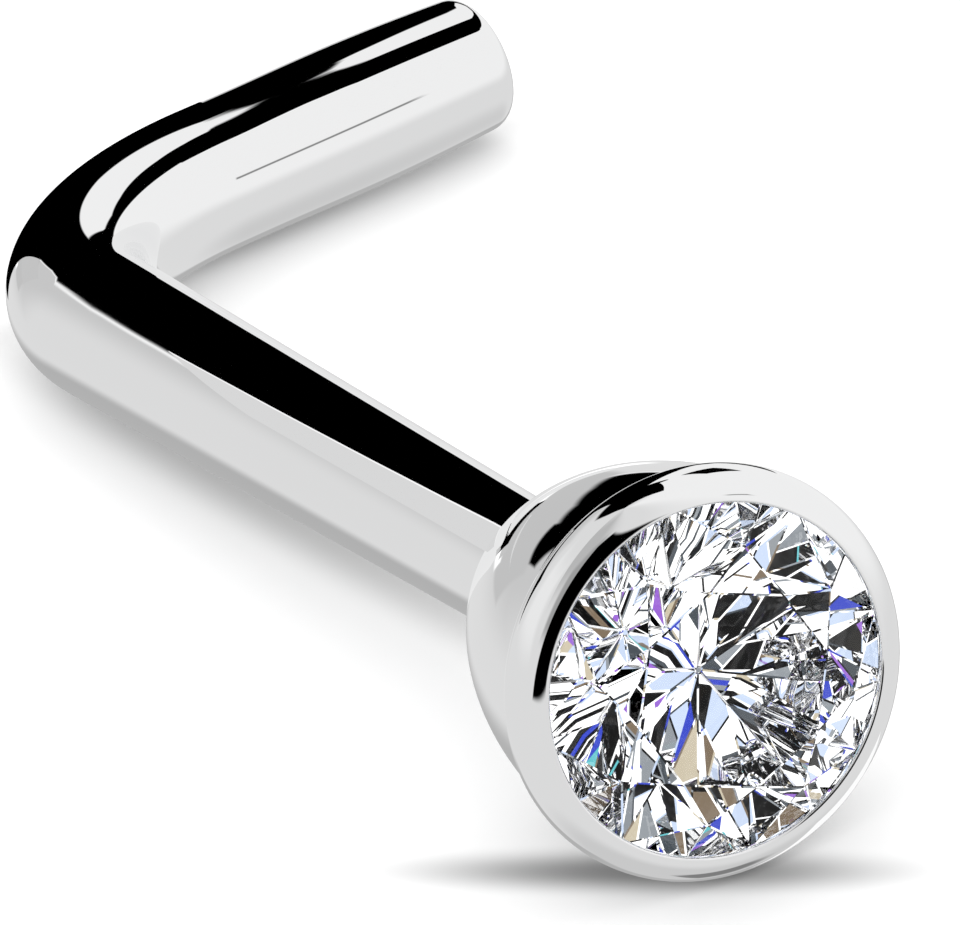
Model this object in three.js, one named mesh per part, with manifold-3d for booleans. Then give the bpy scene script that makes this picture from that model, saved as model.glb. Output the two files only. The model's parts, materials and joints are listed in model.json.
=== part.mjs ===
// A nose stud: a round brilliant in a bezel cup, on a wire post that turns into a short leg.
// Millimetres. The stud is built along its post, with the head at +X and the leg towards +Y,
// and is then laid down as it rests on a flat surface, which is the plane Z = 0.
import * as THREE from "three";
import { mergeVertices } from "three/addons/utils/BufferGeometryUtils.js";
import Module from "manifold-3d";

const wasm = await Module();
wasm.setup();

// Stone: a round brilliant. Angles are in degrees from the girdle's plane.
const stoneDiameter = 2.0;
const tableDiameter = 1.14;
const girdleThickness = 0.05;
const crownAngle = 34.5;
const pavilionAngle = 40.75;
const starLengthShare = 0.5;
const lowerHalfShare = 0.77;
const culetDiameter = 0.04;
const mainFacets = 8;
const girdleSides = 48;

// Cup: its inside follows the stone, and its outside is measured from the widest circle.
const stoneClearance = 0.02;
const rimWall = 0.126;
const lipCover = 0.028;
const lipThickness = 0.04;
const lipHeight = 0.19;
const lipEdgeRound = 0.015;
const seatWidth = 0.3;
const pointClearance = 0.05;
const cupFloor = 0.67;
const cupBackLedge = 0.326;
const cupBackRound = 0.06;
const cupBackRise = 0.05;
const flankBackAngle = 29;
const flankFrontAngle = 12;
const flareHeight = 0.075;
const flareLength = 0.14;
const solderFillet = 0.1;
const cupSides = 56;

// Wire: thickest round the bend, and thinner evenly towards the cup and towards the leg's end.
// The leg is measured from the point where its centre line and the post's cross.
const bendWireDiameter = 0.834;
const cupWireDiameter = 0.728;
const tipWireDiameter = 0.776;
const postLength = 7.45;
const legLength = 3.17;
const turnAngle = 84;
const bendRadius = 1.47;
const endRound = 0.14;
const wireSides = 24;
const wireSteps = 46;

// Weights in milligrams for each cubic millimetre, for the stud's balance as it lies.
const metalDensity = 7.9;
const stoneDensity = 5.8;

// Search for the resting place: tilts in radians, and how many ways each one is tried
const coarsestRock = 0.02;
const finestRock = 1e-8;
const rockDirections = 16;

// Sizes that follow
const degrees = Math.PI / 180;
const stoneRadius = stoneDiameter / 2;
const tableRadius = tableDiameter / 2;
const bendWireRadius = bendWireDiameter / 2;
const cupWireRadius = cupWireDiameter / 2;
const tipWireRadius = tipWireDiameter / 2;
const crownSlope = Math.tan(crownAngle * degrees);
const pavilionSlope = Math.tan(pavilionAngle * degrees);
const boreRadius = stoneRadius + stoneClearance;
const rimRadius = boreRadius + rimWall;
const lipRadius = stoneRadius - lipCover;
const crownGap = stoneClearance / Math.cos(crownAngle * degrees);
const seatGap = stoneClearance / Math.cos(pavilionAngle * degrees);
const girdleTop = lipHeight - lipThickness - crownGap - lipCover * crownSlope;
const girdleBottom = girdleTop - girdleThickness;
const pointX = girdleBottom - (stoneRadius - culetDiameter / 2) * pavilionSlope;
const hollowX = pointX - pointClearance;
const cupBackX = hollowX - cupFloor;
const cupBackRadius = cupWireRadius + cupBackLedge;
const cornerX = cupBackX - postLength;

// Corner of a profile or facet
const at = (x, y) => new THREE.Vector2(x, y);

// Closed body from a geometry's triangles, with its faces pointing out
function solid(geometry) {
  geometry.deleteAttribute("normal");
  geometry.deleteAttribute("uv");
  const merged = mergeVertices(geometry, 1e-5);
  const mesh = new wasm.Mesh({
    numProp: 3,
    vertProperties: new Float32Array(merged.attributes.position.array),
    triVerts: new Uint32Array(merged.index.array),
  });
  return new wasm.Manifold(mesh);
}

// Geometry from a closed body
function geometryOf(body) {
  const mesh = body.getMesh();
  const geometry = new THREE.BufferGeometry();
  geometry.setAttribute("position", new THREE.BufferAttribute(mesh.vertProperties, 3));
  geometry.setIndex(new THREE.BufferAttribute(mesh.triVerts, 1));
  geometry.computeVertexNormals();
  return geometry;
}

// Body of revolution about the X axis, from a profile of (x, radius) points
function turned(profile, sides) {
  const lathe = new THREE.LatheGeometry(profile.map((p) => at(p.y, p.x)), sides);
  return solid(lathe.rotateZ(-Math.PI / 2));
}

// Points of an arc in a profile, from one angle to another, in degrees
function arc(centre, radiusX, radiusY, from, to, steps) {
  const points = [];
  for (let i = 0; i <= steps; i += 1) {
    const a = THREE.MathUtils.lerp(from, to, i / steps) * degrees;
    points.push(at(centre.x + radiusX * Math.cos(a), centre.y + radiusY * Math.sin(a)));
  }
  return points;
}

// Points of a cubic curve whose ends leave along the given angles, in degrees
function sweepBetween(start, startAngle, end, endAngle, reach, steps) {
  const length = start.distanceTo(end) * reach;
  const leave = at(Math.cos(startAngle * degrees), Math.sin(startAngle * degrees));
  const arrive = at(Math.cos(endAngle * degrees), Math.sin(endAngle * degrees));
  const curve = new THREE.CubicBezierCurve(
    start,
    start.clone().addScaledVector(leave, length),
    end.clone().addScaledVector(arrive, -length),
    end
  );
  return curve.getPoints(steps);
}

// Cup's outside: solder fillet, domed back, rounded edge, flared flank and rolled lip
function cupOutside() {
  const filletTop = at(cupBackX - cupBackRise - solderFillet, cupWireRadius - solderFillet * 0.1);
  const filletFoot = at(cupBackX - cupBackRise, cupWireRadius + solderFillet);
  const edgeCentre = at(cupBackX + cupBackRound, cupBackRadius - cupBackRound);
  const flankStart = 90 + flankBackAngle;
  const edge = arc(edgeCentre, cupBackRound, cupBackRound, 180, flankStart, 4);
  const flareStart = at(-flareLength, rimRadius - flareHeight);
  const flank = sweepBetween(edge.at(-1), flankBackAngle, flareStart, flankFrontAngle, 0.36, 9);
  const flare = sweepBetween(flareStart, flankFrontAngle, at(0, rimRadius), 0, 0.5, 5);
  const lip = arc(at(0, lipRadius), lipHeight, rimRadius - lipRadius, 90, 0, 6);
  return [
    at(filletTop.x, 0),
    ...sweepBetween(filletTop, 5, filletFoot, 80, 0.4, 4),
    ...edge,
    ...flank.slice(1),
    ...flare.slice(1),
    ...lip.slice(1, -1),
  ];
}

// Cup's inside: the lip's edge, the bore round the girdle, the seat and the hole for the stone's point
function cupInside() {
  const underLip = at(lipHeight - lipThickness, lipRadius);
  const boreTop = at(girdleTop + crownGap - stoneClearance * crownSlope, boreRadius);
  const boreBottom = at(girdleBottom - seatGap + stoneClearance * pavilionSlope, boreRadius);
  const holeRadius = boreRadius - seatWidth;
  const seatFoot = at(boreBottom.x - seatWidth * pavilionSlope, holeRadius);
  return [
    at(lipHeight, lipRadius + lipEdgeRound),
    at(lipHeight - lipEdgeRound, lipRadius),
    underLip,
    boreTop,
    boreBottom,
    seatFoot,
    at(hollowX, holeRadius),
    at(hollowX, 0),
  ];
}

// Bend of the wire: an arc in the XY plane that starts along -X and turns towards +Y
class Bend extends THREE.Curve {
  constructor(start, radius, angle) {
    super();
    this.start = start;
    this.radius = radius;
    this.angle = angle;
  }

  getPoint(t, target = new THREE.Vector3()) {
    const a = t * this.angle;
    const along = this.radius * Math.sin(a);
    const across = this.radius * (1 - Math.cos(a));
    return target.set(this.start.x - along, this.start.y + across, this.start.z);
  }
}

// Direction of the leg, and the points where the bend leaves the post and meets the leg
const turn = turnAngle * degrees;
const bendReach = bendRadius * Math.tan(turn / 2);
const legDirection = new THREE.Vector3(-Math.cos(turn), Math.sin(turn), 0);
const bendStart = new THREE.Vector3(cornerX + bendReach, 0, 0);
const bendEnd = new THREE.Vector3(cornerX, 0, 0).addScaledVector(legDirection, bendReach);

// Middle of the wire beside a point of it, and the wire's radius there
function wireSection(point) {
  const aroundBend = Math.atan2(bendStart.x - point.x, bendRadius - point.y);
  if (point.x > bendStart.x) {
    const share = THREE.MathUtils.clamp((cupBackX - point.x) / (cupBackX - bendStart.x), 0, 1);
    const radius = THREE.MathUtils.lerp(cupWireRadius, bendWireRadius, share);
    return { middle: new THREE.Vector3(point.x, 0, 0), radius };
  }
  if (aroundBend < turn) {
    const middle = new Bend(bendStart, bendRadius, turn).getPoint(aroundBend / turn);
    return { middle, radius: bendWireRadius };
  }
  const along = point.clone().sub(bendEnd).dot(legDirection);
  const share = Math.min(along / (legLength - bendReach), 1);
  const radius = THREE.MathUtils.lerp(bendWireRadius, tipWireRadius, share);
  return { middle: bendEnd.clone().addScaledVector(legDirection, along), radius };
}

// Wire from inside the cup's floor to the leg's end, thinned towards both, cut to length and rounded at the end
function wire() {
  const pastEnd = new THREE.Vector3(cornerX, 0, 0).addScaledVector(legDirection, legLength + bendWireRadius);
  const path = new THREE.CurvePath();
  path.add(new THREE.LineCurve3(new THREE.Vector3(cupBackX + cupFloor / 2, 0, 0), bendStart));
  path.add(new Bend(bendStart, bendRadius, turn));
  path.add(new THREE.LineCurve3(bendEnd, pastEnd));
  const round = arc(at(0, 0), bendWireRadius, bendWireRadius, 0, 360, wireSides).slice(0, -1);
  const tube = new THREE.ExtrudeGeometry(new THREE.Shape(round), { steps: wireSteps, extrudePath: path });
  const place = tube.attributes.position;
  const point = new THREE.Vector3();
  for (let i = 0; i < place.count; i += 1) {
    const { middle, radius } = wireSection(point.fromBufferAttribute(place, i));
    point.sub(middle).multiplyScalar(radius / bendWireRadius).add(middle);
    place.setXYZ(i, point.x, point.y, point.z);
  }
  return solid(tube).subtract(endWaste());
}

// Waste past the leg's end, hollowed so that it leaves a flat face with a rounded edge
function endWaste() {
  const wasteRadius = tipWireRadius * 1.5;
  const profile = [
    at(legLength, 0),
    ...arc(at(legLength - endRound, tipWireRadius - endRound), endRound, endRound, 0, 75, 4),
    at(legLength - endRound * 0.8, wasteRadius),
    at(legLength + bendWireDiameter, wasteRadius),
    at(legLength + bendWireDiameter, 0),
  ];
  const placed = new THREE.Matrix4().makeRotationZ(Math.PI - turn).setPosition(cornerX, 0, 0);
  return turned(profile, wireSides).transform(placed.elements);
}

// Stone: a round blank cut by the planes of its facets
function brilliant() {
  const tableX = girdleTop + (stoneRadius - tableRadius) * crownSlope;
  const blank = turned(
    [at(pointX, 0), at(pointX, stoneRadius), at(tableX, stoneRadius), at(tableX, 0)],
    girdleSides
  );
  const step = (2 * Math.PI) / mainFacets;
  const around = (x, radius, turns) => {
    const angle = turns * step;
    return new THREE.Vector3(x, radius * Math.cos(angle), radius * Math.sin(angle));
  };
  const tableEdge = tableRadius * Math.cos(step / 2);
  const starRadius = THREE.MathUtils.lerp(tableEdge, stoneRadius, starLengthShare);
  const starX = girdleTop + (stoneRadius - starRadius * Math.cos(step / 2)) * crownSlope;
  const lowerRadius = stoneRadius * (1 - lowerHalfShare);
  const lowerX = girdleBottom - (stoneRadius - lowerRadius * Math.cos(step / 2)) * pavilionSlope;
  const inside = new THREE.Vector3(girdleBottom, 0, 0);
  const cut = (body, ...corners) => {
    const plane = new THREE.Plane().setFromCoplanarPoints(...corners);
    if (plane.distanceToPoint(inside) < 0) {
      plane.negate();
    }
    return body.trimByPlane(plane.normal.toArray(), -plane.constant);
  };
  let stone = blank;
  for (let i = 0; i < mainFacets; i += 1) {
    const corner = around(tableX, tableRadius, i);
    const nextCorner = around(tableX, tableRadius, i + 1);
    const star = around(starX, starRadius, i + 0.5);
    const lastStar = around(starX, starRadius, i - 0.5);
    const girdle = around(girdleTop, stoneRadius, i);
    const girdleHalf = around(girdleTop, stoneRadius, i + 0.5);
    const nextGirdle = around(girdleTop, stoneRadius, i + 1);
    stone = cut(stone, corner, star, lastStar);
    stone = cut(stone, corner, nextCorner, star);
    stone = cut(stone, star, girdle, girdleHalf);
    stone = cut(stone, star, girdleHalf, nextGirdle);
    const lower = around(lowerX, lowerRadius, i + 0.5);
    const lastLower = around(lowerX, lowerRadius, i - 0.5);
    const belt = around(girdleBottom, stoneRadius, i);
    const beltHalf = around(girdleBottom, stoneRadius, i + 0.5);
    const nextBelt = around(girdleBottom, stoneRadius, i + 1);
    stone = cut(stone, lower, lastLower, belt);
    stone = cut(stone, lower, belt, beltHalf);
    stone = cut(stone, lower, beltHalf, nextBelt);
  }
  return stone;
}

// Volume and first moment of a closed geometry, from the tetrahedra between its triangles and the origin
function moment(geometry) {
  const { index } = geometry;
  const place = geometry.attributes.position;
  const total = { volume: 0, sum: new THREE.Vector3() };
  const [a, b, c, normal] = [0, 1, 2, 3].map(() => new THREE.Vector3());
  for (let i = 0; i < index.count; i += 3) {
    a.fromBufferAttribute(place, index.getX(i));
    b.fromBufferAttribute(place, index.getX(i + 1));
    c.fromBufferAttribute(place, index.getX(i + 2));
    const volume = a.dot(normal.crossVectors(b, c)) / 6;
    total.volume += volume;
    total.sum.addScaledVector(a.add(b).add(c), volume / 4);
  }
  return total;
}

// Centre of mass of meshes, each with its density
function balancePoint(parts) {
  const sum = new THREE.Vector3();
  let mass = 0;
  for (const { mesh, density } of parts) {
    const found = moment(mesh.geometry);
    sum.addScaledVector(found.sum, density);
    mass += found.volume * density;
  }
  return sum.divideScalar(mass);
}

// Turn that lays the stud down: from its starting tilt it rocks to the lowest place of its centre of mass
function restingTurn(parts) {
  const centre = balancePoint(parts);
  const points = [];
  for (const { mesh } of parts) {
    const place = mesh.geometry.attributes.position;
    for (let i = 0; i < place.count; i += 1) {
      points.push(new THREE.Vector3().fromBufferAttribute(place, i).sub(centre));
    }
  }
  const upAt = (pitch, roll) => {
    const up = new THREE.Vector3(Math.sin(pitch), Math.sin(roll), 0);
    up.z = Math.sqrt(1 - up.x ** 2 - up.y ** 2);
    return up;
  };
  const heightAt = (pitch, roll) => {
    const up = upAt(pitch, roll);
    return -points.reduce((lowest, p) => Math.min(lowest, p.dot(up)), 0);
  };
  let pitch = Math.asin((rimRadius - bendWireRadius) / Math.abs(cornerX));
  let roll = 0;
  let height = heightAt(pitch, roll);
  const rockedLower = (step) => {
    for (let i = 0; i < rockDirections; i += 1) {
      const angle = (i / rockDirections) * 2 * Math.PI;
      const tried = [pitch + step * Math.cos(angle), roll + step * Math.sin(angle)];
      const found = heightAt(...tried);
      if (found < height) {
        [pitch, roll] = tried;
        height = found;
        return true;
      }
    }
    return false;
  };
  let step = coarsestRock;
  while (step > finestRock) {
    if (!rockedLower(step)) {
      step *= 0.6;
    }
  }
  return new THREE.Quaternion().setFromUnitVectors(upAt(pitch, roll), new THREE.Vector3(0, 0, 1));
}

// Materials
const polishedMetal = new THREE.MeshStandardMaterial({ color: 0xdcdddf, metalness: 1, roughness: 0.06 });
const clearStone = new THREE.MeshStandardMaterial({ color: 0xf2f6fb, metalness: 0, roughness: 0.02 });

// Metal: the cup and the wire are soldered into one piece
const cup = turned([...cupOutside(), ...cupInside()], cupSides);
const metal = new THREE.Mesh(geometryOf(cup.add(wire())), polishedMetal);
metal.name = "bezel_and_post";

const stone = new THREE.Mesh(geometryOf(brilliant()), clearStone);
stone.name = "stone";

// Stud: laid down, with the middle of its base at the origin
const stud = new THREE.Group();
stud.add(metal, stone);
stud.quaternion.copy(
  restingTurn([
    { mesh: metal, density: metalDensity },
    { mesh: stone, density: stoneDensity },
  ])
);
const reach = new THREE.Box3().setFromObject(stud, true);
const middle = reach.getCenter(new THREE.Vector3());
stud.position.set(-middle.x, -middle.y, -reach.min.z);

const scene = new THREE.Group();
scene.add(stud);
export default scene;
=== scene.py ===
# Looks for a nose stud: polished metal, a brilliant-cut stone, a pale floor and a soft studio
import json
import math

import bpy
import bmesh
from mathutils import Matrix, Vector


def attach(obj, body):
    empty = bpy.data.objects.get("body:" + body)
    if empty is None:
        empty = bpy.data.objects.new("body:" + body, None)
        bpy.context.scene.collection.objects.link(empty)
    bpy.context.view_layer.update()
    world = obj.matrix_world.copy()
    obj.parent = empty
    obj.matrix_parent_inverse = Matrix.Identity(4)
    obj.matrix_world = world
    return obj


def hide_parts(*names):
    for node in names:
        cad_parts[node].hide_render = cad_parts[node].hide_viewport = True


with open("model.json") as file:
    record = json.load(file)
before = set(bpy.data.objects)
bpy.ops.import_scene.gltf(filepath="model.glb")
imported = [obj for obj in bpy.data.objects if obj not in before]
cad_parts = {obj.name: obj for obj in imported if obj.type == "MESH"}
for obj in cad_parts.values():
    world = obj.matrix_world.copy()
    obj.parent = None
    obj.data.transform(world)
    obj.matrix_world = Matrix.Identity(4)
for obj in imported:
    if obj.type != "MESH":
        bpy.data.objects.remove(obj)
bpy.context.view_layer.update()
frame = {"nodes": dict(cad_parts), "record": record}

MM = 0.001

# Sizes of the stone and the metal, in millimetres and degrees, as the frame's solids have them.
# The flank alone ends 6 degrees flatter at its front, for the dark crescent in its reflection.
STONE_RADIUS = 1.0
TABLE_HEIGHT = 0.40202
GIRDLE_TOP = 0.10649
GIRDLE_THICKNESS = 0.05
POINT_DEPTH = 0.78793
CROWN_ANGLE = 34.5
PAVILION_ANGLE = 40.75
STONE_CLEARANCE = 0.02
RIM_RADIUS = 1.146
LIP_RADIUS = 0.972
LIP_HEIGHT = 0.19
LIP_THICKNESS = 0.04
LIP_EDGE_ROUND = 0.015
SEAT_WIDTH = 0.3
POINT_CLEARANCE = 0.05
CUP_FLOOR = 0.67
CUP_BACK_RADIUS = 0.69
CUP_BACK_ROUND = 0.06
CUP_BACK_RISE = 0.05
FLANK_BACK_ANGLE = 29
FLANK_FRONT_ANGLE = 6
FLARE_HEIGHT = 0.075
FLARE_LENGTH = 0.14
SOLDER_FILLET = 0.1
CUP_WIRE_RADIUS = 0.364
BEND_WIRE_RADIUS = 0.417
TIP_WIRE_RADIUS = 0.388
POST_LENGTH = 7.45
LEG_LENGTH = 3.17
BEND_RADIUS = 1.47
END_ROUND = 0.14

# Wire's slight waves, left from forming: slope at the bend's end, how many degrees of the bend it grows over,
# and along the leg the distance from the corner, radius and slope
BEND_END_SLOPE = 0.008
BEND_END_ANGLE = 30
LEG_WAVES = ((1.3236, 0.4139, -0.008), (1.6, 0.4124, 0.001), (1.9, 0.4147, 0.0115), (2.15, 0.4162, 0.002),
             (2.45, 0.4125, -0.022), (3.03, 0.388, -0.055))

# Sides of every circle of the metal, and steps round the bend, along each wave of the leg and along the post
SIDES = 192
BEND_STEPS = 64
WAVE_STEPS = 8
POST_STEPS = 12

# Steps along each stretch of the outlines of the cup and of the leg's end
FILLET_STEPS = 12
BACK_ROUND_STEPS = 12
FLANK_STEPS = 36
FLARE_STEPS = 14
LIP_STEPS = 24
LIP_EDGE_STEPS = 4
END_STEPS = 10

# Cup's outline: how far its sweeps keep to their end angles, as shares of their length, and where the fillet
# and the lip end, in degrees
FILLET_REACH = 0.4
FLANK_REACH = 0.36
FLARE_REACH = 0.5
FILLET_FOOT_ANGLE = 80
LIP_END_ANGLE = 5

# Edges sharper than this are left sharp in the metal's shading, in degrees
SHARP_ANGLE = 30

# Camera: angles in degrees as the photograph shows them, lengths in millimetres, but the near clip in metres
VIEW_AZIMUTH = 68.172
VIEW_ELEVATION = 25.079
VIEW_ROLL = -10.696
VIEW_CENTRE = Vector((3.5862, -1.6387, 2.2578))
VIEW_DISTANCE = 212.551
VIEW_LENS = 1500
SENSOR_WIDTH = 36
NEAR_CLIP = 0.01

# Metal: colour, height of its faint waves in millimetres, greatest roughness of its haze,
# and how fine waves and haze are, in repeats a metre
METAL_COLOUR = (0.93, 0.932, 0.935, 1)
METAL_UNEVENNESS = 0.002
METAL_WAVES_SCALE = 700.0
METAL_HAZE = 0.04
METAL_HAZE_SCALE = 2500.0

# Stone: width of its worn edges in millimetres, greatest roughness of its haze, how fine the haze is,
# index of refraction, and how much of its surface reflection is kept
EDGE_WEAR = 0.006
STONE_HAZE = 0.01
STONE_HAZE_SCALE = 4000.0
STONE_INDEX = 2.42
STONE_SURFACE_TINT = (0.1, 0.1, 0.1, 1)

# Stone's facets are joined from triangles whose corners are this near, in millimetres, and which lean
# less than this apart, in degrees
SAME_CORNER = 0.0001
SAME_FACET_ANGLE = 0.5

# Floor: side in millimetres, its darkest and lightest tone, and how fine its grain is
FLOOR_SIZE = 400
FLOOR_TONES = (0.885, 0.9)
FLOOR_GRAIN_SCALE = 900.0

# Shadows painted into the floor's colour under the head, the post and the leg: middle in millimetres,
# turn in degrees, half sizes in millimetres, share of the floor's tone left at the middle
PAINTED_SHADOWS = (
    (Vector((4.34, -1.42, 0)), 44, Vector((2.2, 0.36, 1)), 0.3),
    (Vector((-1.0, -0.88, 0)), 4.2, Vector((5.2, 0.42, 1)), 0.6),
    (Vector((-4.55, 0.6, 0)), 96, Vector((2.4, 0.42, 1)), 0.65),
)

# Studio cards, seen only in reflections: the point they face in millimetres, azimuth and elevation from there
# in degrees, distance, width and height in millimetres, brightness. The cards in front, at the side and below
# shape the head's reflections, those above taper the post's dark band, and those behind show in the bend.
CARDS = {
    "card_in_front": ((4.6, -1.0, 1.2), 86, 45, 8, 8, 9, 0.92),
    "card_at_the_side": ((4.4, -0.3, 2.1), 134, 33, 8, 5.4, 7.4, 0.92),
    "dark_card_at_the_side": ((4.8, -1.0, 2.2), 127, 40, 6, 1.6, 1.9, 0.0),
    "card_above": ((-0.95, -1.9, 0.8), 96.9, 90, 1, 5.3, 0.9, 0.73),
    "bright_strip_above": ((-1.0, -1.47, 0.79), 96.9, 90, 1, 5.3, 0.035, 1.05),
    "card_below": ((4.6, -1.0, 0.8), 112, -51, 5, 3.4, 2.0, 1.05),
    "dark_card_behind": ((-5.0, -0.3, 0.56), 180, 0, 0.15, 1.8, 1.12, 0.0),
    "grey_card_behind": ((-5.0, -1.42, 1.0), 180, 0, 0.15, 0.44, 0.5, 0.58),
}

# Studio that polished surfaces mirror, in directions (azimuth, elevation) in degrees. Azimuth 0 is towards +X
# and 90 towards +Y. It has one brightness but for its areas. Each area has its brightness, how soft its edge
# is in degrees, and its corners, anticlockwise. A later area covers an earlier one.
STUDIO_LIGHT = 0.75
STUDIO_TONES = {
    "low": (0.62, 12.0, [(-70, -100), (310, -100), (310, -55), (-70, -55)]),
    "low_behind": (0.46, 4.0, [(135, -62), (205, -62), (205, -31), (135, -18)]),
    "bright_side": (0.92, 8.0, [(20, -14), (150, -10), (150, 65), (20, 85)]),
    "dark_floor": (0.22, 3.0, [(58, -86), (152, -86), (152, -68), (58, -68)]),
    "grey_behind": (0.6, 9.0, [(170, -6), (196, -6), (208, 20), (208, 45), (170, 45)]),
    "lit_back": (0.86, 10.0, [(232, 18), (288, 18), (288, 55), (232, 55)]),
    "upper_front": (0.5, 12.0, [(-90, 45), (-6, 35), (-12, 82), (-90, 82)]),
    "grey_front": (0.36, 5.0, [(-44, 20), (-18, 8), (-4, 12), (-10, 48), (-36, 44)]),
    "leg_line": (0.25, 0.7, [(29, 9.3), (34.2, 9.3), (34.2, 11.8), (29, 11.8)]),
}

# Flags behind the stud, drawn over the tones. They are black and make one shape, but a light area cuts into
# the last of them. A bright line runs round the shape. Its width, and how softly the line and the shape end,
# are in degrees.
STUDIO_FLAGS_BEHIND = (
    [(62.5, 60), (85, 47.3), (178, 44), (178, 92), (100, 92), (69, 74)],
    [(84.5, 49.4), (145.5, -2.2), (181, 1), (181, 22), (178, 60), (100, 60)],
    [(176, -2), (215, -2), (215, 28), (176, 28)],
)
LIGHT_BESIDE_FLAG = [
    (181, -40), (240, -40), (240, -10), (204, 17.1), (197, 20.2),
    (192, 21.7), (187.8, 22), (184, 19.7), (181, 14),
]
FLAG_LINE = 0.6
FLAG_LINE_SOFT = 0.3
FLAG_SOFT = 0.4

# Areas drawn over the flags
STUDIO_SHAPES = {
    "flag_above": (0.0, 2.0, [(170, 45), (178, 45), (200, 60), (205, 75), (200, 92), (170, 92)]),
    "flag_front": (0.0, 1.2, [(-45, -2), (0, -10), (18, 0), (-2, 42), (-12, 42)]),
    "window": (0.92, 0.5, [
        (151.8, 11.2), (152, 26), (146, 49.9), (141, 54.7), (136, 58.6), (130, 60.9), (124, 62),
        (117, 62.5), (115.5, 56), (117, 47), (126, 26), (133, 15), (142.3, 7.2),
    ]),
    "flank": (0.56, 0.8, [
        (160, -8), (190, -6), (190, 4.5), (186, 8.2), (183, 9.4),
        (178, 9.4), (172, 8.2), (166, 4), (160, -2.5),
    ]),
    "flank_tail": (0.0, 0.5, [(178, 8.6), (188, 6), (189.5, 7.4), (184, 12.6), (177, 14)]),
    "back_edge": (1.3, 0.7, [(157, -15.5), (181, -7), (181, -5), (168, -5.6), (157, -12)]),
}

# Lowest azimuth of the studio, in degrees. The azimuths run from it for one full turn.
AZIMUTH_START = -60

# Brightness of the backdrop, of all that a reflection in a reflection sees, and of the stone's pattern
BACKDROP_LIGHT = 1.5
SECOND_MIRROR_LIGHT = 0.88
STONE_LIGHT = 1.5

# What the stone's facets pick up: white, black, greys and the colours of its fire, as (share of all, colour).
# It comes in cells of one colour: how many there are along a unit of direction, and where the pattern starts.
SPARKLE_SCALE = 9.0
SPARKLE_SHIFT = (2.4, 8.8, 6.5)
SPARKLE = (
    (0.25, (0.0, 0.0, 0.0)),
    (0.06, (0.05, 0.06, 0.07)),
    (0.10, (0.22, 0.24, 0.26)),
    (0.07, (0.45, 0.53, 0.68)),
    (0.035, (0.03, 0.05, 0.42)),
    (0.015, (0.1, 0.42, 0.46)),
    (0.012, (0.24, 0.1, 0.48)),
    (0.03, (0.16, 0.12, 0.08)),
    (0.028, (0.45, 0.4, 0.3)),
    (0.4, (1.0, 1.0, 1.0)),
)

# Bounces of light, many for the stone's inner reflections
ALL_BOUNCES = 20
GLOSSY_BOUNCES = 16
TRANSMISSION_BOUNCES = 16

# Slopes of the stone and gaps over them, and places along the post's axis
crown_slope = math.tan(math.radians(CROWN_ANGLE))
pavilion_slope = math.tan(math.radians(PAVILION_ANGLE))
crown_gap = STONE_CLEARANCE / math.cos(math.radians(CROWN_ANGLE))
seat_gap = STONE_CLEARANCE / math.cos(math.radians(PAVILION_ANGLE))
hollow_x = -POINT_DEPTH - POINT_CLEARANCE
cup_back_x = hollow_x - CUP_FLOOR
corner_x = cup_back_x - POST_LENGTH


# Stud's own frame in the row frame, X along the post to the stone, Y on the leg's side, and the wire's turn
def stud_frame():
    mounts = {m["name"]: m for m in frame["record"]["mounts"]}
    along = Vector(mounts["stone_table"]["axis"]).normalized()
    leg = Vector(mounts["leg_end"]["axis"]).normalized()
    normal = along.cross(leg).normalized()
    across = normal.cross(along)
    origin = Vector(mounts["stone_table"]["pos_m"]) - along * TABLE_HEIGHT * MM
    turn = math.acos(-along.dot(leg))
    axes = Matrix((along, across, normal)).transposed().to_4x4()
    return Matrix.Translation(origin) @ axes @ Matrix.Scale(MM, 4), turn


# Points of an ellipse's arc, from one angle to another, in degrees
def arc(centre, radius_x, radius_y, start, end, steps):
    points = []
    for i in range(steps + 1):
        a = math.radians(start + (end - start) * i / steps)
        points.append((centre[0] + radius_x * math.cos(a), centre[1] + radius_y * math.sin(a)))
    return points


# Points of a cubic curve whose ends leave along the given angles, in degrees
def sweep_between(start, start_angle, end, end_angle, reach, steps):
    length = math.dist(start, end) * reach
    a, b = math.radians(start_angle), math.radians(end_angle)
    leave = (start[0] + length * math.cos(a), start[1] + length * math.sin(a))
    arrive = (end[0] - length * math.cos(b), end[1] - length * math.sin(b))
    points = []
    for i in range(steps + 1):
        t = i / steps
        weights = ((1 - t) ** 3, 3 * t * (1 - t) ** 2, 3 * t * t * (1 - t), t ** 3)
        corners = (start, leave, arrive, end)
        points.append(tuple(sum(w * c[k] for w, c in zip(weights, corners)) for k in (0, 1)))
    return points


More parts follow.
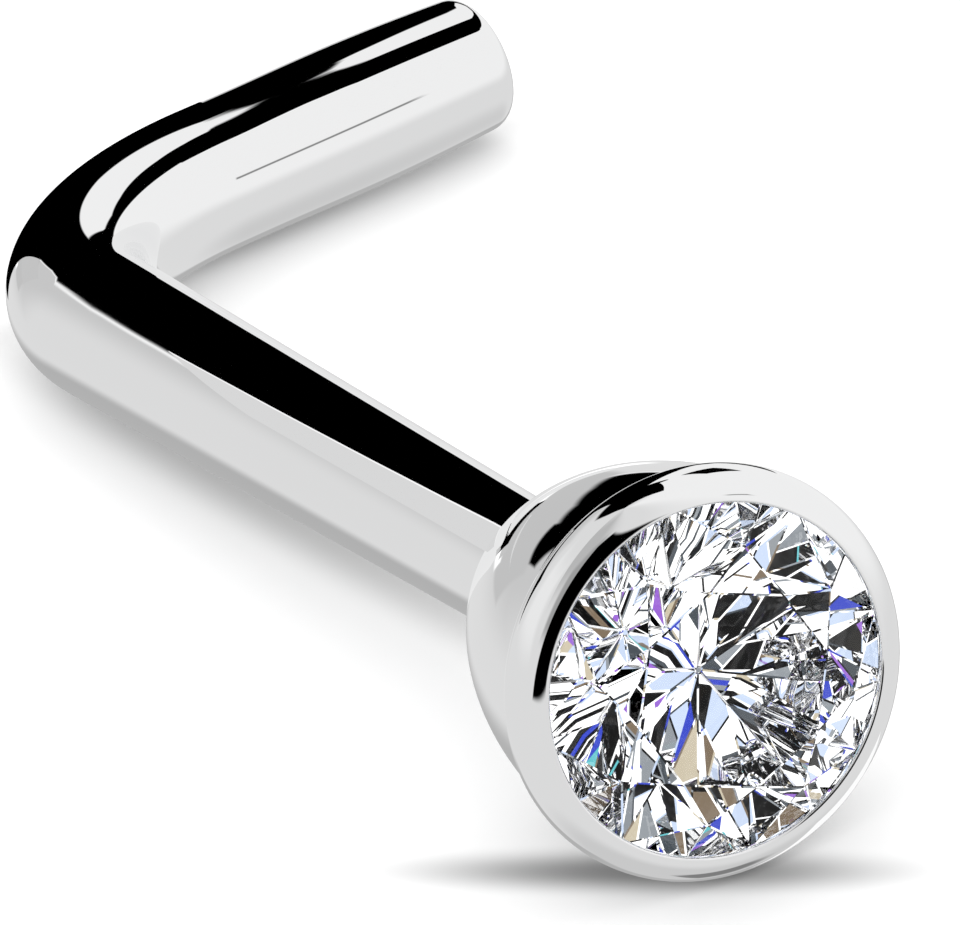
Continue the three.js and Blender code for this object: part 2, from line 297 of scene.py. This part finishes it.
# Cup's outside from the solder fillet on the wire to the rolled lip, as (x, radius)
def cup_outside():
    fillet_top = (cup_back_x - CUP_BACK_RISE - SOLDER_FILLET, CUP_WIRE_RADIUS)
    fillet_foot = (cup_back_x - CUP_BACK_RISE, CUP_WIRE_RADIUS + SOLDER_FILLET)
    edge_centre = (cup_back_x + CUP_BACK_ROUND, CUP_BACK_RADIUS - CUP_BACK_ROUND)
    edge = arc(edge_centre, CUP_BACK_ROUND, CUP_BACK_ROUND, 180, 90 + FLANK_BACK_ANGLE, BACK_ROUND_STEPS)
    flare_start = (-FLARE_LENGTH, RIM_RADIUS - FLARE_HEIGHT)
    rim = (0, RIM_RADIUS)
    flank = sweep_between(
        edge[-1], FLANK_BACK_ANGLE, flare_start, FLANK_FRONT_ANGLE, FLANK_REACH, FLANK_STEPS)
    flare = sweep_between(flare_start, FLANK_FRONT_ANGLE, rim, 0, FLARE_REACH, FLARE_STEPS)
    lip = arc((0, LIP_RADIUS), LIP_HEIGHT, RIM_RADIUS - LIP_RADIUS, 90, LIP_END_ANGLE, LIP_STEPS)
    fillet = sweep_between(fillet_top, 0, fillet_foot, FILLET_FOOT_ANGLE, FILLET_REACH, FILLET_STEPS)
    return fillet + edge + flank[1:] + flare[1:] + lip[1:]


# Cup's inside from the lip's edge to the rim of the hollow's floor, as (x, radius)
def cup_inside():
    bore_radius = STONE_RADIUS + STONE_CLEARANCE
    hole_radius = bore_radius - SEAT_WIDTH
    bore_top = GIRDLE_TOP + crown_gap - STONE_CLEARANCE * crown_slope
    bore_bottom = GIRDLE_TOP - GIRDLE_THICKNESS - seat_gap + STONE_CLEARANCE * pavilion_slope
    edge_centre = (LIP_HEIGHT - LIP_EDGE_ROUND, LIP_RADIUS + LIP_EDGE_ROUND)
    return arc(edge_centre, LIP_EDGE_ROUND, LIP_EDGE_ROUND, 0, -90, LIP_EDGE_STEPS) + [
        (LIP_HEIGHT - LIP_THICKNESS, LIP_RADIUS),
        (bore_top, bore_radius),
        (bore_bottom, bore_radius),
        (bore_bottom - SEAT_WIDTH * pavilion_slope, hole_radius),
        (hollow_x, hole_radius),
    ]


# Leg's profile along its waves, as (distance from the corner, radius)
def leg_waves():
    points = [LEG_WAVES[0][:2]]
    for (s0, r0, slope0), (s1, r1, slope1) in zip(LEG_WAVES, LEG_WAVES[1:]):
        length = s1 - s0
        for i in range(1, WAVE_STEPS + 1):
            t = i / WAVE_STEPS
            rise = r0 * (1 + 2 * t) * (1 - t) ** 2 + r1 * t * t * (3 - 2 * t)
            lean = length * (slope0 * t * (1 - t) ** 2 - slope1 * t * t * (1 - t))
            points.append((s0 + length * t, rise + lean))
    return points


# Circles of the metal's skin from the leg's end to the setting's floor: centre, direction across, radius
def metal_circles(turn):
    corner = Vector((corner_x, 0, 0))
    leg = Vector((-math.cos(turn), math.sin(turn), 0))
    leg_across = Vector((math.sin(turn), math.cos(turn), 0))
    reach = BEND_RADIUS * math.tan(turn / 2)
    circles = []
    end_centre = (LEG_LENGTH - END_ROUND, TIP_WIRE_RADIUS - END_ROUND)
    end_arc = arc(end_centre, END_ROUND, END_ROUND, 0, 90, END_STEPS)
    for along, radius in end_arc[:-1] + leg_waves()[::-1][:-1]:
        circles.append((corner + leg * along, leg_across, radius))
    slope_turn = math.radians(BEND_END_ANGLE)
    for i in range(BEND_STEPS + 1):
        a = turn * (1 - i / BEND_STEPS)
        along = corner_x + reach - BEND_RADIUS * math.sin(a)
        side = BEND_RADIUS * (1 - math.cos(a))
        near_end = max(a - turn + slope_turn, 0)
        radius = BEND_WIRE_RADIUS - BEND_RADIUS * BEND_END_SLOPE * near_end ** 2 / slope_turn / 2
        circles.append((Vector((along, side, 0)), Vector((math.sin(a), math.cos(a), 0)), radius))
    post_start = corner_x + reach
    post_end = cup_back_x - CUP_BACK_RISE - SOLDER_FILLET
    for i in range(1, POST_STEPS):
        x = post_start + (post_end - post_start) * i / POST_STEPS
        radius = BEND_WIRE_RADIUS + (CUP_WIRE_RADIUS - BEND_WIRE_RADIUS) * i / POST_STEPS
        circles.append((Vector((x, 0, 0)), Vector((0, 1, 0)), radius))
    for x, radius in cup_outside() + cup_inside():
        circles.append((Vector((x, 0, 0)), Vector((0, 1, 0)), radius))
    return circles


# New object with a mesh
def add_object(name, mesh):
    piece = bpy.data.objects.new(name, mesh)
    bpy.context.scene.collection.objects.link(piece)
    return piece


# Metal: one skin through all its circles, closed at both ends
def make_metal(to_row, turn):
    circles = metal_circles(turn)
    built = bmesh.new()
    rings = []
    for centre, across, radius in circles:
        ring = []
        for k in range(SIDES):
            a = 2 * math.pi * k / SIDES
            spot = centre + across * radius * math.cos(a) + Vector((0, 0, radius * math.sin(a)))
            ring.append(built.verts.new(to_row @ spot))
        rings.append(ring)
    for near, far in zip(rings, rings[1:]):
        for k in range(SIDES):
            n = (k + 1) % SIDES
            built.faces.new((near[k], near[n], far[n], far[k]))
    for ring, (centre, _, _) in ((rings[0], circles[0]), (rings[-1], circles[-1])):
        middle = built.verts.new(to_row @ centre)
        for k in range(SIDES):
            built.faces.new((ring[k], ring[(k + 1) % SIDES], middle))
    bmesh.ops.recalc_face_normals(built, faces=built.faces)
    mesh = bpy.data.meshes.new("polished_setting_and_post")
    built.to_mesh(mesh)
    built.free()
    mesh.shade_smooth()
    mesh.set_sharp_from_angle(angle=math.radians(SHARP_ANGLE))
    return add_object("polished_setting_and_post", mesh)


# Node tree of a new material, emptied but for its output
def new_material(name):
    material = bpy.data.materials.new(name)
    material.use_nodes = True
    tree = material.node_tree
    tree.nodes.clear()
    output = tree.nodes.new("ShaderNodeOutputMaterial")
    return material, tree, output


# Node with values set on its sockets by name
def node(tree, kind, inputs=None, **settings):
    made = tree.nodes.new(kind)
    for key, value in settings.items():
        setattr(made, key, value)
    for key, value in (inputs or {}).items():
        if isinstance(value, bpy.types.NodeSocket):
            tree.links.new(value, made.inputs[key])
        else:
            made.inputs[key].default_value = value
    return made


# Output of a maths node
def math_node(tree, operation, *values):
    return node(tree, "ShaderNodeMath", dict(enumerate(values)), operation=operation).outputs["Value"]


# Soft step from 0 to 1 as a value passes a place
def soft_step(tree, value, place, soft):
    limits = {"Value": value, "From Min": place - soft, "From Max": place + soft}
    return node(tree, "ShaderNodeMapRange", limits, interpolation_type="SMOOTHSTEP").outputs["Result"]


# Mix of two values or sockets by a factor
def mix_value(tree, factor, first, second):
    mixed = node(tree, "ShaderNodeMix", {"Factor": factor, "A": first, "B": second}, data_type="FLOAT")
    return mixed.outputs["Result"]


# Mix of two shaders' nodes by a factor
def mix_shader(tree, factor, first, second):
    return node(tree, "ShaderNodeMixShader", {0: factor, 1: first.outputs[0], 2: second.outputs[0]})


# Noise of a scale on an object's own coordinates
def noise(tree, place, scale, detail):
    settings = {"Vector": place, "Scale": scale, "Detail": detail}
    return node(tree, "ShaderNodeTexNoise", settings).outputs["Fac"]


# Mirror-polished metal, with the faint unevenness that polishing leaves
def metal_material():
    material, tree, output = new_material("mirror_polished_metal")
    place = node(tree, "ShaderNodeTexCoord").outputs["Object"]
    waves = noise(tree, place, METAL_WAVES_SCALE, 1.0)
    uneven = node(tree, "ShaderNodeBump", {
        "Height": waves,
        "Strength": 1.0,
        "Distance": METAL_UNEVENNESS * MM,
    })
    haze = noise(tree, place, METAL_HAZE_SCALE, 3.0)
    roughness = node(tree, "ShaderNodeMapRange", {"Value": haze, "To Min": 0.0, "To Max": METAL_HAZE})
    shader = node(tree, "ShaderNodeBsdfPrincipled", {
        "Base Color": METAL_COLOUR,
        "Metallic": 1.0,
        "Roughness": roughness.outputs["Result"],
        "Normal": uneven.outputs["Normal"],
    })
    tree.links.new(shader.outputs["BSDF"], output.inputs["Surface"])
    return material


# Stone with its edges taken off a little, as polishing leaves them
def make_stone(cad_stone):
    built = bmesh.new()
    built.from_mesh(cad_stone.data)
    bmesh.ops.transform(built, matrix=cad_stone.matrix_world, verts=built.verts)
    bmesh.ops.remove_doubles(built, verts=built.verts, dist=SAME_CORNER * MM)
    flat = math.radians(SAME_FACET_ANGLE)
    bmesh.ops.dissolve_limit(built, angle_limit=flat, verts=built.verts, edges=built.edges)
    bmesh.ops.bevel(built, geom=built.edges, offset=EDGE_WEAR * MM, segments=1, profile=0.5, affect="EDGES")
    mesh = bpy.data.meshes.new("brilliant")
    built.to_mesh(mesh)
    built.free()
    return add_object("brilliant", mesh)


# Clear stone, with a faint haze in patches
def stone_material():
    material, tree, output = new_material("clear_brilliant")
    place = node(tree, "ShaderNodeTexCoord").outputs["Object"]
    haze = noise(tree, place, STONE_HAZE_SCALE, 2.0)
    roughness = node(tree, "ShaderNodeMapRange", {
        "Value": haze,
        "From Min": 0.5,
        "To Min": 0.0,
        "To Max": STONE_HAZE,
    })
    shader = node(tree, "ShaderNodeBsdfPrincipled", {
        "Base Color": (1, 1, 1, 1),
        "Metallic": 0.0,
        "Roughness": roughness.outputs["Result"],
        "IOR": STONE_INDEX,
        "Specular Tint": STONE_SURFACE_TINT,
        "Transmission Weight": 1.0,
    })
    tree.links.new(shader.outputs["BSDF"], output.inputs["Surface"])
    return material


# Pale floor with soft shadows painted into its colour, seen by the camera but not in reflections
def make_floor():
    half = FLOOR_SIZE * MM / 2
    corners = [(-half, -half, 0), (half, -half, 0), (half, half, 0), (-half, half, 0)]
    mesh = bpy.data.meshes.new("floor")
    mesh.from_pydata(corners, [], [(0, 1, 2, 3)])
    floor = add_object("floor", mesh)
    material, tree, output = new_material("pale_floor_with_painted_shadows")
    darkest, lightest = FLOOR_TONES
    place = node(tree, "ShaderNodeTexCoord").outputs["Object"]
    grain = noise(tree, place, FLOOR_GRAIN_SCALE, 2.0)
    grain_and_painted_shadow = node(tree, "ShaderNodeMapRange", {
        "Value": grain,
        "To Min": darkest,
        "To Max": lightest,
    }).outputs["Result"]
    # Each painted shadow darkens the floor's colour in a soft ellipse, most at its middle
    for centre, turn, size, left in PAINTED_SHADOWS:
        beside = node(tree, "ShaderNodeMapping", {
            "Vector": place,
            "Location": centre * MM,
            "Rotation": (0, 0, math.radians(turn)),
            "Scale": size * MM,
        }, vector_type="TEXTURE").outputs["Vector"]
        away = node(tree, "ShaderNodeVectorMath", {0: beside}, operation="LENGTH").outputs["Value"]
        soft = node(tree, "ShaderNodeMapRange", {
            "Value": away,
            "To Min": left,
            "To Max": 1.0,
        }, interpolation_type="SMOOTHERSTEP").outputs["Result"]
        grain_and_painted_shadow = math_node(tree, "MULTIPLY", grain_and_painted_shadow, soft)
    shader = node(tree, "ShaderNodeBsdfDiffuse", {"Color": grain_and_painted_shadow})
    tree.links.new(shader.outputs["BSDF"], output.inputs["Surface"])
    mesh.materials.append(material)
    floor.visible_glossy = False
    floor.visible_transmission = False


# Card that is seen only in reflections
def make_card(name, faces, azimuth, elevation, distance, width, height, brightness):
    azimuth, elevation = math.radians(azimuth), math.radians(elevation)
    level = Vector((math.cos(azimuth), math.sin(azimuth), 0))
    towards = level * math.cos(elevation) + Vector((0, 0, math.sin(elevation)))
    sideways = Vector((math.sin(azimuth), -math.cos(azimuth), 0))
    upwards = sideways.cross(towards)
    centre = Vector(faces) + towards * distance
    corners = []
    for i, j in ((-1, -1), (1, -1), (1, 1), (-1, 1)):
        corners.append((centre + sideways * i * width / 2 + upwards * j * height / 2) * MM)
    mesh = bpy.data.meshes.new(name)
    mesh.from_pydata(corners, [], [(0, 1, 2, 3)])
    card = add_object(name, mesh)
    material, tree, output = new_material(name)
    shader = node(tree, "ShaderNodeEmission", {"Color": (1, 1, 1, 1), "Strength": brightness})
    tree.links.new(shader.outputs["Emission"], output.inputs["Surface"])
    mesh.materials.append(material)
    for kind in ("camera", "diffuse", "transmission", "shadow", "volume_scatter"):
        setattr(card, "visible_" + kind, False)


# Camera at the photograph's angle
def make_camera():
    azimuth, elevation, roll = (math.radians(a) for a in (VIEW_AZIMUTH, VIEW_ELEVATION, VIEW_ROLL))
    level = Vector((math.cos(azimuth), math.sin(azimuth), 0))
    back = Vector((
        math.cos(elevation) * math.sin(azimuth),
        -math.cos(elevation) * math.cos(azimuth),
        math.sin(elevation),
    ))
    upright = back.cross(level)
    right = level * math.cos(roll) + upright * math.sin(roll)
    up = back.cross(right)
    data = bpy.data.cameras.new("camera")
    data.lens = VIEW_LENS
    data.sensor_width = SENSOR_WIDTH
    data.sensor_fit = "HORIZONTAL"
    data.clip_start = NEAR_CLIP
    camera = bpy.data.objects.new("camera", data)
    bpy.context.scene.collection.objects.link(camera)
    place = VIEW_CENTRE * MM + back * VIEW_DISTANCE * MM
    camera.matrix_world = Matrix.Translation(place) @ Matrix((right, up, back)).transposed().to_4x4()
    bpy.context.scene.camera = camera


# Azimuth and elevation of a direction, in degrees, as a vector (azimuth, elevation, 1)
def direction_angles(tree, direction):
    parts = node(tree, "ShaderNodeSeparateXYZ", {"Vector": direction}).outputs
    azimuth = math_node(tree, "ARCTAN2", parts["Y"], parts["X"])
    azimuth = math_node(tree, "MULTIPLY", azimuth, 180 / math.pi)
    azimuth = math_node(tree, "WRAP", azimuth, AZIMUTH_START + 360, AZIMUTH_START)
    elevation = math_node(tree, "ARCSINE", parts["Z"])
    elevation = math_node(tree, "MULTIPLY", elevation, 180 / math.pi)
    return node(tree, "ShaderNodeCombineXYZ", {"X": azimuth, "Y": elevation, "Z": 1.0}).outputs["Vector"]


# How far inside a convex area a direction lies, in degrees
def depth_inside(tree, angles, corners):
    inside = None
    for (x0, y0), (x1, y1) in zip(corners, corners[1:] + corners[:1]):
        length = math.hypot(x1 - x0, y1 - y0)
        across, up = (y0 - y1) / length, (x1 - x0) / length
        line = (across, up, -across * x0 - up * y0)
        edge = node(tree, "ShaderNodeVectorMath", {0: angles, 1: line}, operation="DOT_PRODUCT")
        edge = edge.outputs["Value"]
        inside = edge if inside is None else math_node(tree, "MINIMUM", inside, edge)
    return inside


# Brightness with convex areas drawn over it, each with its own brightness and soft edge
def draw_areas(tree, angles, light, areas):
    for brightness, soft, corners in areas.values():
        inside = soft_step(tree, depth_inside(tree, angles, corners), 0, soft)
        light = mix_value(tree, inside, light, brightness)
    return light


# Brightness of the studio in a direction
def studio_light(tree, direction):
    angles = direction_angles(tree, direction)
    light = draw_areas(tree, angles, STUDIO_LIGHT, STUDIO_TONES)
    wide, low, strip = (depth_inside(tree, angles, corners) for corners in STUDIO_FLAGS_BEHIND)
    beside = math_node(tree, "MULTIPLY", depth_inside(tree, angles, LIGHT_BESIDE_FLAG), -1.0)
    strip = math_node(tree, "MINIMUM", strip, beside)
    behind = math_node(tree, "MAXIMUM", math_node(tree, "MAXIMUM", wide, low), strip)
    light = mix_value(tree, soft_step(tree, behind, -FLAG_LINE, FLAG_LINE_SOFT), light, 1.0)
    light = mix_value(tree, soft_step(tree, behind, 0, FLAG_SOFT), light, 0.0)
    return draw_areas(tree, angles, light, STUDIO_SHAPES)


# Colours that the stone gathers from a direction
def sparkle(tree, direction):
    shifted = node(tree, "ShaderNodeVectorMath", {0: direction, 1: SPARKLE_SHIFT}, operation="ADD")
    cells = node(tree, "ShaderNodeTexVoronoi", {"Vector": shifted.outputs["Vector"], "Scale": SPARKLE_SCALE})
    chance = node(tree, "ShaderNodeSeparateColor", {"Color": cells.outputs["Color"]}).outputs["Red"]
    colours = node(tree, "ShaderNodeValToRGB", {"Fac": chance})
    ramp = colours.color_ramp
    ramp.interpolation = "CONSTANT"
    start = 0
    for i, (share, colour) in enumerate(SPARKLE):
        stop = ramp.elements[i] if i < 2 else ramp.elements.new(start)
        stop.position = start
        stop.color = (*colour, 1)
        start += share
    return colours.outputs["Color"]


# Studio: white to the camera, pale with dark flags in reflections, and cells of colour through the stone
def make_world():
    world = bpy.data.worlds.new("studio")
    bpy.context.scene.world = world
    world.cycles.sampling_method = "NONE"
    world.use_nodes = True
    tree = world.node_tree
    tree.nodes.clear()
    output = tree.nodes.new("ShaderNodeOutputWorld")
    direction = node(tree, "ShaderNodeTexCoord").outputs["Generated"]
    ray = node(tree, "ShaderNodeLightPath").outputs
    through = math_node(tree, "GREATER_THAN", ray["Transmission Depth"], 0.5)
    plain = math_node(tree, "MAXIMUM", ray["Is Camera Ray"], ray["Is Diffuse Ray"])
    backdrop = node(tree, "ShaderNodeBackground", {"Color": (1, 1, 1, 1), "Strength": BACKDROP_LIGHT})
    again = math_node(tree, "GREATER_THAN", ray["Glossy Depth"], 1.5)
    light = mix_value(tree, again, studio_light(tree, direction), SECOND_MIRROR_LIGHT)
    mirrored = node(tree, "ShaderNodeBackground", {"Color": (1, 1, 1, 1), "Strength": light})
    pattern = sparkle(tree, direction)
    refracted = node(tree, "ShaderNodeBackground", {"Color": pattern, "Strength": STONE_LIGHT})
    polished = mix_shader(tree, through, mirrored, refracted)
    whole = mix_shader(tree, plain, polished, backdrop)
    tree.links.new(whole.outputs["Shader"], output.inputs["Surface"])


# Bounces of light, and colours shown as they are
def set_light_paths():
    cycles = bpy.context.scene.cycles
    cycles.max_bounces = ALL_BOUNCES
    cycles.glossy_bounces = GLOSSY_BOUNCES
    cycles.transmission_bounces = TRANSMISSION_BOUNCES
    bpy.context.scene.view_settings.view_transform = "Standard"


to_row, turn = stud_frame()
make_camera()
metal = make_metal(to_row, turn)
metal.data.materials.append(metal_material())
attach(metal, "root")
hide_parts("bezel_and_post")
stone = make_stone(frame["nodes"]["stone"])
stone.data.materials.append(stone_material())
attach(stone, "root")
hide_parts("stone")
make_floor()
for name, card in CARDS.items():
    make_card(name, *card)
make_world()
set_light_paths()
